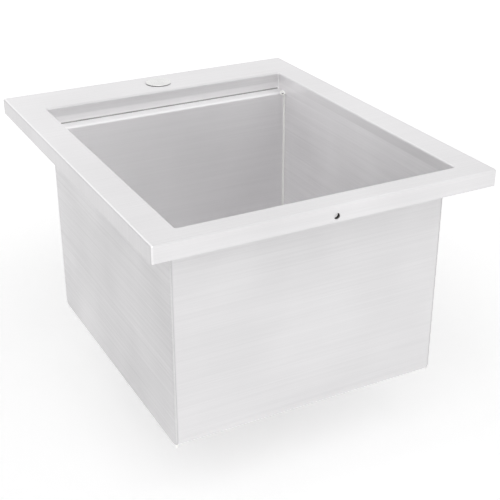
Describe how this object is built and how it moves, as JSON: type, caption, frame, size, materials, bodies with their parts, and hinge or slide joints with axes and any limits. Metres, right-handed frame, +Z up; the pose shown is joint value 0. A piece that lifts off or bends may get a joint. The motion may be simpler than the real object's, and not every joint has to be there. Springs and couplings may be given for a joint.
{
  "type": "drop-in sink",
  "caption": "Deep rectangular steel drop-in sink with a flat rim, front and back ledges, covered tap hole, basket strainer and hold-down clips.",
  "frame": {"origin": "middle of the rim at the plane of the worktop, which the turned-down edge rests on", "axes": "+Z up out of the basin, +Y towards the tap hole at the back, +X to the right seen from the front"},
  "size_m": [0.4572, 0.547, 0.4303],
  "materials": {
    "deck_steel": "brushed stainless steel, fine satin",
    "basin_steel": "brushed stainless steel, fine satin",
    "cover_steel": "spun stainless steel, satin",
    "seal_rubber": "black moulded rubber",
    "plated_steel": "bright zinc plated steel",
    "clip_steel": "zinc plated pressed steel",
    "stud_steel": "rolled thread, plain stainless steel",
    "strainer_steel": "polished stainless steel",
    "fibre": "pressed fibre",
    "nut_metal": "die-cast zinc, plated",
    "washer_plastic": "white moulded polyethylene",
    "tube_chrome": "chrome plated tube"
  },
  "bodies": {
    "root": {"deck_rim": "deck_steel", "bowl_wrapper": "basin_steel", "left_end_panel": "basin_steel", "right_end_panel": "basin_steel", "tap_hole_cover": "cover_steel", "cover_seal": "seal_rubber", "hold_down_studs": "stud_steel", "strainer_body": "strainer_steel", "floor_gasket": "seal_rubber", "slip_ring": "fibre", "strainer_locknut": "nut_metal", "tailpiece_washer": "washer_plastic", "tailpiece": "tube_chrome", "coupling_nut": "nut_metal"},
    "basket": {"basket_cup": "strainer_steel", "basket_post": "strainer_steel", "basket_knob": "strainer_steel", "stopper_spacer": "strainer_steel", "basket_stopper": "seal_rubber", "stopper_nut": "plated_steel", "basket_spring": "stud_steel"},
    "cover_bar": {"cover_bar": "clip_steel"},
    "cover_nut": {"cover_wing_nut": "plated_steel"},
    "clamp_1": {"clip_washer_1": "plated_steel"},
    "clip_1": {"hold_down_clip_1": "clip_steel"},
    "clip_nut_1": {"clip_nut_1": "plated_steel"},
    "clamp_2": {"clip_washer_2": "plated_steel"},
    "clip_2": {"hold_down_clip_2": "clip_steel"},
    "clip_nut_2": {"clip_nut_2": "plated_steel"},
    "clamp_3": {"clip_washer_3": "plated_steel"},
    "clip_3": {"hold_down_clip_3": "clip_steel"},
    "clip_nut_3": {"clip_nut_3": "plated_steel"},
    "clamp_4": {"clip_washer_4": "plated_steel"},
    "clip_4": {"hold_down_clip_4": "clip_steel"},
    "clip_nut_4": {"clip_nut_4": "plated_steel"}
  },
  "joints": [
    {"name": "basket_lift", "type": "slide", "parent": "root", "child": "basket", "axis": [0, 0, 1], "range_m": [0, 0.09]},
    {"name": "cover_bar_slide", "type": "slide", "parent": "root", "child": "cover_bar", "axis": [0, 0, -1], "range_m": [0, 0.012]},
    {"name": "cover_nut_spin", "type": "hinge", "parent": "cover_bar", "child": "cover_nut", "pos_m": [0, 0.2355, 0.0152], "axis": [0, 0, -1], "range_deg": [0, 5400]},
    {"name": "clamp_slide_1", "type": "slide", "parent": "root", "child": "clamp_1", "axis": [0, 0, -1], "range_m": [0, 0.015]},
    {"name": "clip_nut_spin_1", "type": "hinge", "parent": "clamp_1", "child": "clip_nut_1", "pos_m": [-0.198, -0.13, -0.0132], "axis": [0, 0, -1], "range_deg": [0, 5400]},
    {"name": "clip_swing_1", "type": "hinge", "parent": "clamp_1", "child": "clip_1", "pos_m": [-0.198, -0.13, -0.0132], "axis": [0, 0, 1], "range_deg": [0, 90]},
    {"name": "clamp_slide_2", "type": "slide", "parent": "root", "child": "clamp_2", "axis": [0, 0, -1], "range_m": [0, 0.015]},
    {"name": "clip_nut_spin_2", "type": "hinge", "parent": "clamp_2", "child": "clip_nut_2", "pos_m": [0.198, -0.13, -0.0132], "axis": [0, 0, -1], "range_deg": [0, 5400]},
    {"name": "clip_swing_2", "type": "hinge", "parent": "clamp_2", "child": "clip_2", "pos_m": [0.198, -0.13, -0.0132], "axis": [0, 0, -1], "range_deg": [0, 90]},
    {"name": "clamp_slide_3", "type": "slide", "parent": "root", "child": "clamp_3", "axis": [0, 0, -1], "range_m": [0, 0.015]},
    {"name": "clip_nut_spin_3", "type": "hinge", "parent": "clamp_3", "child": "clip_nut_3", "pos_m": [-0.198, 0.13, -0.0132], "axis": [0, 0, -1], "range_deg": [0, 5400]},
    {"name": "clip_swing_3", "type": "hinge", "parent": "clamp_3", "child": "clip_3", "pos_m": [-0.198, 0.13, -0.0132], "axis": [0, 0, -1], "range_deg": [0, 90]},
    {"name": "clamp_slide_4", "type": "slide", "parent": "root", "child": "clamp_4", "axis": [0, 0, -1], "range_m": [0, 0.015]},
    {"name": "clip_nut_spin_4", "type": "hinge", "parent": "clamp_4", "child": "clip_nut_4", "pos_m": [0.198, 0.13, -0.0132], "axis": [0, 0, -1], "range_deg": [0, 5400]},
    {"name": "clip_swing_4", "type": "hinge", "parent": "clamp_4", "child": "clip_4", "pos_m": [0.198, 0.13, -0.0132], "axis": [0, 0, 1], "range_deg": [0, 90]}
  ],
  "couplings": [
    {"joint": "cover_bar_slide", "follows": "cover_nut_spin", "m_per_rad": 0.00012732},
    {"joint": "clamp_slide_1", "follows": "clip_nut_spin_1", "m_per_rad": 0.00015915},
    {"joint": "clamp_slide_2", "follows": "clip_nut_spin_2", "m_per_rad": 0.00015915},
    {"joint": "clamp_slide_3", "follows": "clip_nut_spin_3", "m_per_rad": 0.00015915},
    {"joint": "clamp_slide_4", "follows": "clip_nut_spin_4", "m_per_rad": 0.00015915}
  ]
}
